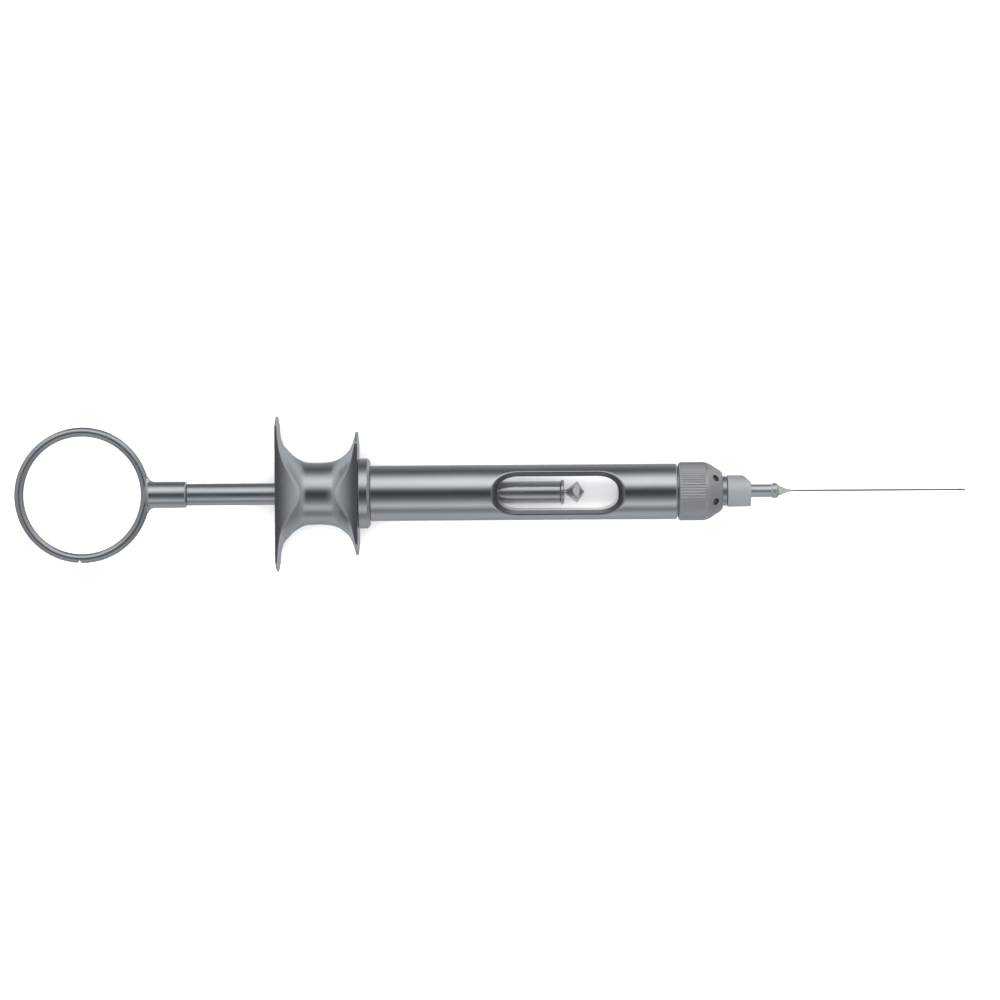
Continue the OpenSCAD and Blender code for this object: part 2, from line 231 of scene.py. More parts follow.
class Nodes:
    def __init__(self, name):
        self.m = bpy.data.materials.new(name)
        self.m.use_nodes = True
        self.t = self.m.node_tree
        self.t.nodes.clear()
        self.out = self.add("ShaderNodeOutputMaterial")
        self.p = self.add("ShaderNodeBsdfPrincipled")
        self.link(self.p.outputs[0], self.out.inputs[0])
        self.co = self.add("ShaderNodeTexCoord").outputs["Object"]

    def add(self, kind, **kw):
        n = self.t.nodes.new(kind)
        for k, v in kw.items():
            setattr(n, k, v)
        return n

    def link(self, a, b):
        self.t.links.new(a, b)

    def put(self, socket, value):
        if hasattr(value, "is_output"):
            self.link(value, socket)
        else:
            socket.default_value = value

    def math(self, op, a, b=0.0, c=0.0, clamp=False):
        n = self.add("ShaderNodeMath", operation=op, use_clamp=clamp)
        for i, x in enumerate((a, b, c)):
            self.put(n.inputs[i], x)
        return n.outputs[0]

    def noise(self, scale, stretch=(1, 1, 1), detail=3.0, rough=0.55, turn=(0, 0, 0)):
        mp = self.add("ShaderNodeMapping")
        mp.inputs["Scale"].default_value = stretch
        mp.inputs["Rotation"].default_value = turn
        self.link(self.co, mp.inputs["Vector"])
        n = self.add("ShaderNodeTexNoise")
        n.inputs["Scale"].default_value = scale
        n.inputs["Detail"].default_value = detail
        n.inputs["Roughness"].default_value = rough
        self.link(mp.outputs[0], n.inputs["Vector"])
        return n.outputs["Fac"]

    def span(self, value, lo, hi, to_lo=0.0, to_hi=1.0):
        n = self.add("ShaderNodeMapRange")
        self.link(value, n.inputs["Value"])
        for k, x in zip(("From Min", "From Max", "To Min", "To Max"), (lo, hi, to_lo, to_hi)):
            n.inputs[k].default_value = x
        return n.outputs["Result"]

    def mix(self, fac, a, b):
        n = self.add("ShaderNodeMix", data_type="RGBA")
        self.put(n.inputs[0], fac)
        for s, x in ((n.inputs[6], a), (n.inputs[7], b)):
            if hasattr(x, "is_output"):
                self.link(x, s)
            else:
                s.default_value = (*x, 1)
        return n.outputs[2]

    def radius(self):
        """Distance from the syringe's axis, in mm."""
        s = self.add("ShaderNodeSeparateXYZ")
        self.link(self.co, s.inputs[0])
        z = self.math("SUBTRACT", s.outputs["Z"], AXIS)
        rr = self.math("ADD", self.math("MULTIPLY", s.outputs["Y"], s.outputs["Y"]), self.math("MULTIPLY", z, z))
        return self.math("MULTIPLY", self.math("SQRT", rr), 1000.0), s

    def bump(self, height, strength, dist, under=None):
        b = self.add("ShaderNodeBump")
        b.inputs["Strength"].default_value = strength
        b.inputs["Distance"].default_value = dist
        self.link(height, b.inputs["Height"])
        if under is not None:
            self.link(under, b.inputs["Normal"])
        return b.outputs[0]

    def edges(self, lo=0.52, hi=0.6):
        """1 on worn outer edges."""
        return self.span(self.add("ShaderNodeNewGeometry").outputs["Pointiness"], lo, hi)


def metal(name, colour, rough, spread=0.05, marks=0.12, marks_scale=2600, across=True, grain=0.0,
          bore=None, wall=None, mix_metal=1.0, flats=None):
    """Machined metal: turning or drawing marks, fine scratches, handling haze and lighter worn edges.
    bore and wall are (outer radius in mm, colour, roughness): bore is a duller finish nearer the axis; wall paints the
    window walls dark, which is painted shade.
    mix_metal below 1 lets a dull oxide skin show."""
    n = Nodes(name)
    p = n.p
    p.inputs["Metallic"].default_value = mix_metal
    haze = n.noise(95, (1, 1, 1), 4)
    tone = n.noise(28, (1, 1.4, 1.4), 3)
    lines = n.noise(marks_scale, (1, 0.012, 0.012) if across else (0.012, 1, 1), 2, 0.6)
    scratch = n.noise(900, (0.035, 1, 1), 4, 0.7, (0.02, 0.12, 0.25))
    nick = n.noise(1500, (1, 0.05, 1), 3, 0.7, (0.3, 0.1, 0.7))
    dark = tuple(c * 0.93 for c in colour)
    light = tuple(min(1, c * 1.05) for c in colour)
    base = n.mix(n.span(tone, 0.35, 0.65), dark, light)
    base = n.mix(n.span(scratch, 0.64, 0.74, 0, 0.35), base, tuple(c * 0.8 for c in colour))
    base = n.mix(n.edges(), base, tuple(min(1, c * 1.12) for c in colour))
    r = n.span(haze, 0.3, 0.7, rough - spread * 0.5, rough + spread)
    r = n.math("ADD", r, n.span(scratch, 0.6, 0.75, 0, 0.09))
    r = n.math("ADD", r, n.span(nick, 0.66, 0.76, 0, 0.07))
    if flats:
        # linished flats: beyond that distance above or below the axis, in mm
        z = n.math("ABSOLUTE", n.math("SUBTRACT", n.radius()[1].outputs["Z"], AXIS))
        k = n.add("ShaderNodeMix")
        n.link(n.span(n.math("MULTIPLY", z, 1000.0), flats[0] - 0.12, flats[0] + 0.03), k.inputs[0])
        n.link(r, k.inputs[2])
        # finer near the flanges, coarser towards the waist
        x = n.math("ABSOLUTE", n.math("SUBTRACT", n.radius()[1].outputs["X"], A0 + 8.2 * MM))
        soften = n.span(x, 3.6 * MM, 7.6 * MM, flats[2], flats[1])
        n.link(soften, k.inputs[3])
        # the flats are also painted paler towards the waist: a painted sheen, brighter than the steel itself
        pale = n.span(x, 3.6 * MM, 7.2 * MM, 1, 0)
        base = n.mix(n.math("MULTIPLY", pale, k.inputs[0].links[0].from_socket), base, (0.90, 0.91, 0.92))
        r = k.outputs[0]
    rad = n.radius()[0] if (bore or wall) else None
    # wall darkens everything below its radius, the window walls: painted shade
    for zone in (wall, bore):
        if not zone:
            continue
        m = n.span(rad, zone[0] - 0.04, zone[0] + 0.04, 1, 0)
        base = n.mix(m, base, zone[1])
        k = n.add("ShaderNodeMix")
        n.link(m, k.inputs[0])
        n.link(r, k.inputs[2])
        k.inputs[3].default_value = zone[2]
        r = k.outputs[0]
        if len(zone) > 3:
            n.link(n.span(m, 0, 1, mix_metal, zone[3]), p.inputs["Metallic"])
    n.link(base, p.inputs["Base Color"])
    n.link(n.math("MAXIMUM", r, 0.04), p.inputs["Roughness"])
    b = n.bump(lines, marks, 4e-6)
    b = n.bump(scratch, marks * 0.6, 3e-6, b)
    if grain:
        b = n.bump(n.noise(5200, (1, 1, 1), 3), grain, 1.6e-5, b)
    n.link(b, p.inputs["Normal"])
    return n.m


POLISHED = (0.685, 0.692, 0.700)
BORE = (4.56, (0.74, 0.75, 0.76), 0.34, 0.38)
m_barrel = metal("steel_barrel", POLISHED, 0.14, bore=BORE)
# the window walls get a near-black colour: painted shade
m_window_painted_shade = metal("steel_barrel_window_painted_wall_shade", POLISHED, 0.14, wall=(5.50, (0.20, 0.208, 0.22), 0.28), bore=BORE)
m_ring = metal("steel_ring", (0.54, 0.55, 0.56), 0.27, marks=0.08, across=False)
m_shank = metal("steel_shank", (0.63, 0.64, 0.65), 0.23)
m_rod = metal("steel_rod", (0.62, 0.63, 0.64), 0.24)
m_grip = metal("steel_grip", (0.64, 0.65, 0.66), 0.17, spread=0.06, flats=(6.7, 0.24, 0.62))
m_collar = metal("steel_collar", (0.65, 0.66, 0.67), 0.17)
m_disc = metal("steel_disc", (0.62, 0.63, 0.64), 0.24)
m_dark = metal("steel_milled", (0.74, 0.75, 0.76), 0.22, marks=0.2, marks_scale=3600)
m_satin = metal("steel_satin", (0.54, 0.545, 0.55), 0.40, spread=0.07, marks=0.2, grain=0.12, mix_metal=0.955)
# the holes' walls and floors are painted near-black: painted shade in the recesses
m_hole_painted_shade = metal("steel_hole_painted_shade", (0.22, 0.225, 0.235), 0.45, marks=0.25, mix_metal=0.93)
m_thread = metal("steel_thread", (0.58, 0.585, 0.59), 0.30, marks=0.2)
m_alloy = metal("alloy_blasted", (0.66, 0.68, 0.69), 0.60, spread=0.08, marks=0.05, grain=0.35, mix_metal=0.91)
m_drawn = metal("steel_drawn", (0.76, 0.765, 0.77), 0.38, marks=0.05)
m_tube = metal("steel_tube", (0.42, 0.425, 0.43), 0.5, marks=0.05, across=False, mix_metal=0.985)
m_brass = metal("brass_turned", (0.72, 0.56, 0.30), 0.28, marks=0.25)


def soft(name, colour, rough, scale, spec=0.5):
    n = Nodes(name)
    t = n.noise(scale, (1, 1, 1), 4)
    d = n.noise(scale * 6, (1, 1, 1), 3)
    n.link(n.mix(n.span(t, 0.35, 0.65), tuple(c * 0.88 for c in colour), colour), n.p.inputs["Base Color"])
    n.link(n.span(d, 0.3, 0.7, rough - 0.08, rough + 0.08), n.p.inputs["Roughness"])
    n.p.inputs["Specular IOR Level"].default_value = spec
    n.link(n.bump(d, 0.25, 1.2e-5), n.p.inputs["Normal"])
    return n.m


m_rubber = soft("rubber_black", (0.03, 0.03, 0.032), 0.5, 900)
m_silicone = soft("silicone_white", (0.62, 0.62, 0.60), 0.42, 500)


def resin(name):
    n = Nodes(name)
    t = n.noise(700, (1, 1, 1), 3)
    n.link(n.mix(t, (0.24, 0.255, 0.245), (0.32, 0.335, 0.325)), n.p.inputs["Base Color"])
    n.link(n.span(t, 0.3, 0.7, 0.10, 0.24), n.p.inputs["Roughness"])
    n.p.inputs["Transmission Weight"].default_value = 0.3
    n.p.inputs["IOR"].default_value = 1.5
    n.link(n.bump(n.noise(1500, (1, 1, 1), 2), 0.2, 1e-5), n.p.inputs["Normal"])
    return n.m


m_resin = resin("resin_clear")


# ------------------------------------------------------------------- plunger

RING_A, RING_R, WIRE = -38.9, 12.65, 0.95


def build_ring():
    """Round wire ring. The wire's ends meet in a small open seam on the right-hand side."""
    seam = math.radians(-92.5)
    n = 300
    th = [TAU * i / n for i in range(n)]
    th += [seam + s * k / 13.6 for k in np.linspace(0, 0.62, 15)[1:] for s in (1, -1)] + [seam]
    th = sorted(set(round(t % TAU, 7) for t in th))
    rows = []
    for t in th:
        w = WIRE * (1 - 0.018 - 0.018 * math.sin(3 * t + 0.7))
        s = 13.6 * abs((t - seam + math.pi) % TAU - math.pi)
        row = []
        for j in range(56):
            q = TAU * j / 56
            rho, z = RING_R + w * math.cos(q), w * math.sin(q)
            if s < 0.62:
                lim = 12.92 + s / 0.63
                k = 0.08
                h = max(0.0, k - abs(rho - lim)) / k
                rho = min(rho, lim) - h * h * k / 4
            row.append((RING_A + rho * math.cos(t), rho * math.sin(t), z))
        rows.append(row)
    rows.append(rows[0])
    sh = Shell()
    sh.sheet(rows, wrap=True)
    return sh.make("thumb_ring_wire", "plunger", "polished_steel", ["thumb_ring"], m_ring)


def build_shank():
    """Round shank that spreads into the wire on both sides in smooth brazed fillets."""
    sr = 2.62
    back = RING_A + RING_R
    st = list(np.linspace(back - 0.1, back + 3.2, 34)) + [back + 5, -19.5]
    st += [-18.4 + 0.5 * math.sin(u) for u in np.linspace(0, math.pi / 2, 7)]
    rows = []
    for a in st:
        # body radius: rounded at the ring end and at the front end
        u = a - (back + 1.0)
        r = 1.42 + math.sqrt(max(0.0, 1.44 - min(0.0, u) ** 2)) if u < 0 else sr
        if a > -18.4:
            r = sr - 0.5 + math.sqrt(max(0.0, 0.25 - (a + 18.4) ** 2))
        # fillet that runs out along the wire
        d = a - (back + 0.95) + 0.35
        flare = 1.0 if d < 0.02 else max(0.0, 1.25 - math.sqrt(max(0.0, 1.5625 - max(0.0, 1.25 - d) ** 2)))
        wy = sr + min(flare, 1.0)
        hz = 0.88
        row = []
        for j in range(144):
            t = TAU * j / 144
            sy, cz = math.sin(t), math.cos(t)
            q = r
            if flare > 0.01:
                web = 1.0 / ((abs(sy) / wy) ** 3 + (abs(cz) / hz) ** 3) ** (1 / 3)
                k = 0.5
                h = max(0.0, k - abs(web - r)) / k
                q = max(web, r) + h * h * k / 4 * min(1.0, flare * 2) * abs(sy)
            y, z = q * sy, q * cz
            # inside of the ring stays clear
            lo = RING_A + math.sqrt(max(0.0, 12.62 ** 2 - y * y))
            row.append((max(a, lo) if a < back + 0.6 else a, y, z))
        rows.append(row)
    sh = Shell()
    sh.sheet(rows, wrap=True)
    sh.fan(rows[0], (rows[0][0][0], 0, 0))
    # front end with the tapped hole that takes the rod's stud
    front = rounded([(-17.9, 2.12), (-17.9, 1.5), (-23.1, 1.5), (-23.1, 0)], 0.08, closed=False)
    lathe([(-17.9, 2.12)] + front[1:], 144, closed=False, sh=sh)
    return sh.make("ring_shank_brazed", "plunger", "polished_steel", ["ring_shank"], m_shank)


def build_rod():
    p = [(-22.9, 0), (-22.9, 1.15), (-22.7, 1.42)] + runs(-22.6, -18.4, 1.45, 0.1) + \
        [(-18.3, 1.2), (-17.9, 1.2), (-17.9, 2.03), (-17.75, 2.18), (56.65, 2.18), (56.8, 2.03),
         (56.8, 1.05), (51.8, 1.05), (51.8, 0)]
    prof = rounded(p, 0.06, closed=False)
    lathe(prof, 128, closed=False, cut=helix(1.45, 0.2, 0.5, -22.7, -18.3, 0.2)).make(
        "plunger_rod_turned", "plunger", "polished_steel", ["plunger_rod"], m_rod)


def build_disc():
    p = [(56.8, 1.05), (56.8, 2.3), (56.95, 2.45), (57.35, 2.45), (57.5, 2.3), (57.5, 1.05)]
    lathe(rounded(p, 0.07), 128).make("pressure_disc_turned", "plunger", "polished_steel", ["pressure_disc"], m_disc)


def flatted(profile, flat_z, n_side, n_flat, k=0.0, closed=True, sh=None, where=None, crown=None, turn=0.0):
    """Turned shape cut by two flats square to Z, with columns that follow the flats' edges.
    crown(a) is how far the flats fall away there, and turn rotates the whole about the axis."""
    ct, st = math.cos(turn), math.sin(turn)
    sh = sh or Shell()
    rows = []
    for a, r in profile:
        half = flat_z - (crown(a) if crown else 0.0)
        cut = r > half and (where is None or where(a))
        b = math.asin(min(1.0, half / r)) if cut else math.pi / 2      # angle from Y where the flat starts
        side = [b * math.sin(math.pi / 2 * u) for u in np.linspace(-1, 1, n_side)]
        ey = r * math.cos(b)
        row = []
        for s in (1, -1):
            for t in side:
                y, z = s * r * math.cos(t), s * r * math.sin(t)
                row.append([a, y, z])
            for u in np.linspace(0, 1, n_flat + 2)[1:-1]:
                if cut:
                    w = 0.5 - 0.5 * math.cos(math.pi * u)
                    row.append([a, s * ey * (1 - 2 * w), s * half])
                else:
                    row.append([a, 0.0, s * r])
        for q in row:
            if k and cut:
                g = half - abs(q[2])
                # pull the points near the flat's edge in a little, which rounds that edge
                e = abs(abs(q[1]) - ey)
                if g < k and e < k:
                    q[2] -= math.copysign(0.25 * (k - max(g, e)) ** 2 / k, q[2])
        rows.append([[x, y * ct + z * st, z * ct - y * st] for x, y, z in row])
    if closed:
        rows.append(rows[0])
    sh.sheet(rows, wrap=True)
    return sh


def build_harpoon():
    f = 57.5
    p = [(52.6, 0), (52.6, 0.8), (52.75, 1.0)] + runs(52.8, 56.7, 1.0, 0.1) + \
        [(56.75, 0.84), (56.82, 0.84), (56.9, 1.0), (57.5, 1.0), (57.52, 0.58), (58.0, 0.56), (58.25, 0.72)]
    c0, c1 = (58.25, 0.72), (59.95, 2.05)
    p += [(c0[0] + (c1[0] - c0[0]) * i / 12, c0[1] + (c1[1] - c0[1]) * i / 12) for i in range(1, 12)]
    p += [(59.93, 2.04), (60.1, 2.14), (60.25, 2.05)]
    c0, c1 = (60.25, 2.05), (61.42, 0.28)
    p += [(c0[0] + (c1[0] - c0[0]) * i / 12, c0[1] + (c1[1] - c0[1]) * i / 12) for i in range(1, 13)]
    p += [(61.5, 0.12), (61.5, 0)]
    prof = rounded(p, 0.05, closed=False)
    flatted(prof, 1.5, 25, 13, k=0.12, closed=False, where=lambda a: a > f, turn=math.radians(12)).make(
        "harpoon_barbed", "plunger", "dark_steel", ["harpoon"], m_dark)


# -------------------------------------------------------------------- handle

def build_grip():
    wr, fr, sr, g = 6.2, 15.6, 12.4, 16.4
    outer = spline([(0.38, fr - 0.05), (0.5, fr - 1.7), (0.68, fr - 3.1), (1, wr + 4.8), (1.56, wr + 3.45),
                    (2.44, wr + 2.45), (3.38, wr + 1.5), (4.7, wr + 0.6), (6, wr + 0.12), (7.6, wr),
                    (9.4, wr + 0.02), (g - 5.5, wr + 0.18), (g - 4.6, wr + 0.4), (g - 3.65, wr + 0.85),
                    (g - 2.65, wr + 1.6), (g - 1.85, wr + 2.4), (g - 1.4, wr + 3.2), (g - 1.1, wr + 3.9),
                    (g - 0.8, wr + 5), (g - 0.5, sr - 0.05)], 6)
    p = [(0, 2.24), (0, 7.0), (0, 11), (0, 15.42, 0.1), (0.16, 15.6, 0.1)] + outer + \
        [(g - 0.38, sr, 0.06), (g - 0.12, sr, 0.06), (g, sr - 0.14, 0.06), (g, 10), (g, 7.2), (g, 5.25, 0.15),
         (10.4, 5.25, 0.05), (10.4, 3.9, 0.05), (3, 3.9, 0.05), (3, 2.24, 0.05)]
    prof = rounded(p, 0.09)

    def crown(a):
        d = min(a, g - a)
        return 0.09 * min(d / 4, 1.15) ** 2

    flatted(prof, 7.1, 97, 40, k=0.28, crown=crown).make("finger_grip_spool", "handle", "polished_steel", ["finger_grip"], m_grip)


def build_guides():
    lathe(rounded([(3.03, 2.24), (3.03, 3.62), (3.27, 3.86), (5.6, 3.86), (5.6, 2.24)], 0.12), 96).make(
        "guide_bush_brass", "handle", "brass", ["rod_guide_bush"], m_brass)
    ring = [(6.5 + 0.8 * math.cos(TAU * i / 40), 3.01 + 0.8 * math.sin(TAU * i / 40)) for i in range(40)]
    lathe(ring, 96).make("o_ring_cord", "brake_ring", "black_rubber", ["rod_o_ring"], m_rubber)


def build_retainer():
    """Slotted threaded ring."""
    cut = helix(3.88, 0.2, 0.5, 7.45, 9.95, 0.25)
    p = rounded([(7.42, 2.28), (7.42, 3.6)] + [(7.5, 3.88)] + runs(7.55, 9.8, 3.88, 0.1)[0:] +
                [(9.98, 3.6), (9.98, 2.28)], 0.08)
    sh = Shell()
    cols = 128
    rows = []
    for a, r in p:
        row = []
        for j in range(cols):
            # columns crowd at the slot's walls
            t = TAU * j / cols
            q = r + cut(a, t, r)
            x = a
            if a > 9.1 and abs(q * math.cos(t)) < 0.5:
                x = 9.1 + 0.03 * (a - 9.1)
            row.append((x, q * math.sin(t), q * math.cos(t)))
        rows.append(row)
    rows.append(rows[0])
    sh.sheet(rows, wrap=True)
    sh.make("bush_retainer_slotted", "handle", "satin_steel", ["bush_retainer"], m_thread)


def build_collar():
    p = [(16.46, 5.25), (16.46, 6.9), (16.56, 7.0), (18.25, 7.0), (18.7, 6.55), (18.75, 6.4), (18.75, 5.25)]
    lathe(rounded(p, 0.1), 200).make("barrel_collar_ring", "handle", "polished_steel", ["barrel_collar"], m_collar)


RO, BI = 5.55, 4.5
WIN0, WINL, WINR, BEVEL = 44.2, 24.0, 4.2, 1.0
ROLL = -math.radians(4)


def build_barrel():
    """Tube with two opposite windows. Round each window the mesh is one sheet that runs from the outer
    skin over a rounded edge, down the sloping wall and over to the bore."""
    flat, fin = math.radians(6), math.radians(47.5)
    fout = fin + math.radians(3)
    x0, x1 = WIN0, WIN0 + WINL
    lo, hi = x0 - 5.5, x1 + 5.5
    ns, nl, ne = 96, 96, 96

    # outline parameters: (end parameter, sign of angle, straight part)
    def outline(outer):
        f = fout if outer else fin
        s = BEVEL if outer else 0.0
        k = 1 + BEVEL / WINR if outer else 1.0
        pts = []
        def end(x, sg, u):
            # u from -1 to 1 round one end
            arc = math.pi / 2 * min(1.0, max(0.0, (abs(u) - 0.12) / 0.88))
            ang = flat * min(1.0, abs(u) / 0.12) if abs(u) < 0.12 else flat + (f - flat) * math.sin(arc)
            e0 = WINR * (1 - math.cos(arc))
            return (x - sg * s + sg * e0 * k, math.copysign(ang, u))
        for i in range(ne):                                  # start end: angle from -f to f
            pts.append(end(x0, 1, -1 + 2 * i / ne))
        xa = x0 - s + WINR * k
        xb = x1 + s - WINR * k
        for i in range(nl):
            pts.append((xa + (xb - xa) * i / nl, f))
        for i in range(ne):
            pts.append(end(x1, -1, 1 - 2 * i / ne))
        for i in range(nl):
            pts.append((xb + (xa - xb) * i / nl, -f))
        return pts

    def frame_rect():
        pts = []
        for i in range(ne):
            pts.append((lo, -math.pi / 2 + math.pi * i / ne))
        for i in range(nl):
            pts.append((lo + (hi - lo) * i / nl, math.pi / 2))
        for i in range(ne):
            pts.append((hi, math.pi / 2 - math.pi * i / ne))
        for i in range(nl):
            pts.append((hi + (lo - hi) * i / nl, -math.pi / 2))
        return pts

    co, ci, rect = np.array(outline(True)), np.array(outline(False)), np.array(frame_rect())

    def on(r, q):
        return np.stack([q[:, 0], r * np.sin(q[:, 1] + ROLL), r * np.cos(q[:, 1] + ROLL)], 1)

    def step_out(q, r, d):
        """Outline moved away from the opening by d mm on the skin."""
        p = np.stack([q[:, 0], q[:, 1] * r], 1)
        t = np.roll(p, -1, 0) - np.roll(p, 1, 0)
        nrm = np.stack([-t[:, 1], t[:, 0]], 1)
        nrm /= np.maximum(np.linalg.norm(nrm, axis=1), 1e-9)[:, None]
        mid = p.mean(0)
        s = np.sign(((p - mid) * nrm).sum(1))
        p = p + nrm * (s * d)[:, None]
        return np.stack([p[:, 0], p[:, 1] / r], 1)

    # the edge is rounded more at the window's ends than along its sides
    tx = np.roll(co, -1, 0) - np.roll(co, 1, 0)
    side = np.abs(tx[:, 0]) / np.maximum(np.hypot(tx[:, 0], tx[:, 1] * RO), 1e-9)
    side = side * side * (3 - 2 * side)
    eo = 0.66 - 0.34 * side
    ew = (0.42 - 0.14 * side)[:, None]
    ei = 0.10
    rings = []
    # outer skin from the rectangle in to the edge rounding
    near = step_out(co, RO, eo)
    for t in (0, 0.25, 0.5, 0.7, 0.84, 0.93, 0.98, 1.0):
        rings.append(on(RO, rect + (near - rect) * t))
    top, bot = on(RO, co), on(BI, ci)
    wall = bot - top
    wall /= np.linalg.norm(wall, axis=1)[:, None]
    a, b = on(RO, near), top + wall * ew
    for k in range(1, 9):
        t = k / 8
        rings.append((1 - t) ** 3 * a + 3 * t * (1 - t) ** 2 * (a + 0.62 * (top - a))
                     + 3 * t * t * (1 - t) * (b + 0.62 * (top - b)) + t ** 3 * b)
    c = bot - wall * ei
    for t in (0.33, 0.66, 1.0):
        rings.append(b + (c - b) * t)
    near_i = step_out(ci, BI, ei)
    d = on(BI, near_i)
    for k in range(1, 4):
        t = k / 3
        rings.append((1 - t) ** 2 * c + 2 * t * (1 - t) * bot + t * t * d)
    rect_i = rect.copy()
    for t in (0.02, 0.07, 0.16, 0.3, 0.5, 0.75, 1.0):
        rings.append(on(BI, near_i + (rect_i - near_i) * t))
    rings = np.array(rings)
    sh = Shell()
    sh.sheet(rings, wrap=True, kind=1)
    other = rings * np.array([1, -1, -1])
    sh.sheet(other, wrap=True, kind=1)

    # the two plain ends of the tube
    cols = 2 * ne
    phase = -math.pi / 2 + ROLL
    rear = [(lo, BI)] + [(30.0, BI), (16.0, BI)] + rounded(
        [(16.0, BI), (10.8, BI, 0.12), (10.8, 4.9, 0.08), (10.9, 5.0, 0.05)], closed=False)[1:]
    rear += runs(11.0, 18.6, 5.2, 0.13)
    rear += [(18.68, 5.0)] + rounded([(18.7, 5.0), (18.8, 5.0, 0.02), (18.8, 5.43, 0.05), (18.92, 5.55, 0.08),
                                      (22.0, 5.55)], closed=False)[1:] + [(30.0, RO), (lo, RO)]
    front = [(hi, RO), (77.0, RO)] + rounded([(77.0, RO), (79.75, RO, 0.06), (79.93, 5.48, 0.06), (80.0, 5.3, 0.06),
                                              (80.0, 4.95, 0.02), (80.14, 4.95)], closed=False)[1:]
    front += runs(80.2, 85.25, 5.2, 0.1)
    front += rounded([(85.3, 5.0), (85.4, 4.85, 0.05), (85.4, 4.0, 0.1), (78.6, 4.0, 0.05), (78.1, 4.5, 0.05),
                      (77.0, 4.5)], closed=False) + [(hi, BI)]
    lathe(rear, cols, closed=False, cut=helix(5.2, 0.28, 1.0, 10.9, 18.7, 0.6), sh=sh, phase=phase)
    lathe(front, cols, closed=False, cut=helix(5.2, 0.28, 1.0, 80.1, 85.4, 0.5), sh=sh, phase=phase)
    sh.make("barrel_tube", "handle", "polished_steel", ["barrel"], [m_barrel, m_window_painted_shade], weld=1e-6)


# ---------------------------------------------------------------- needle cap

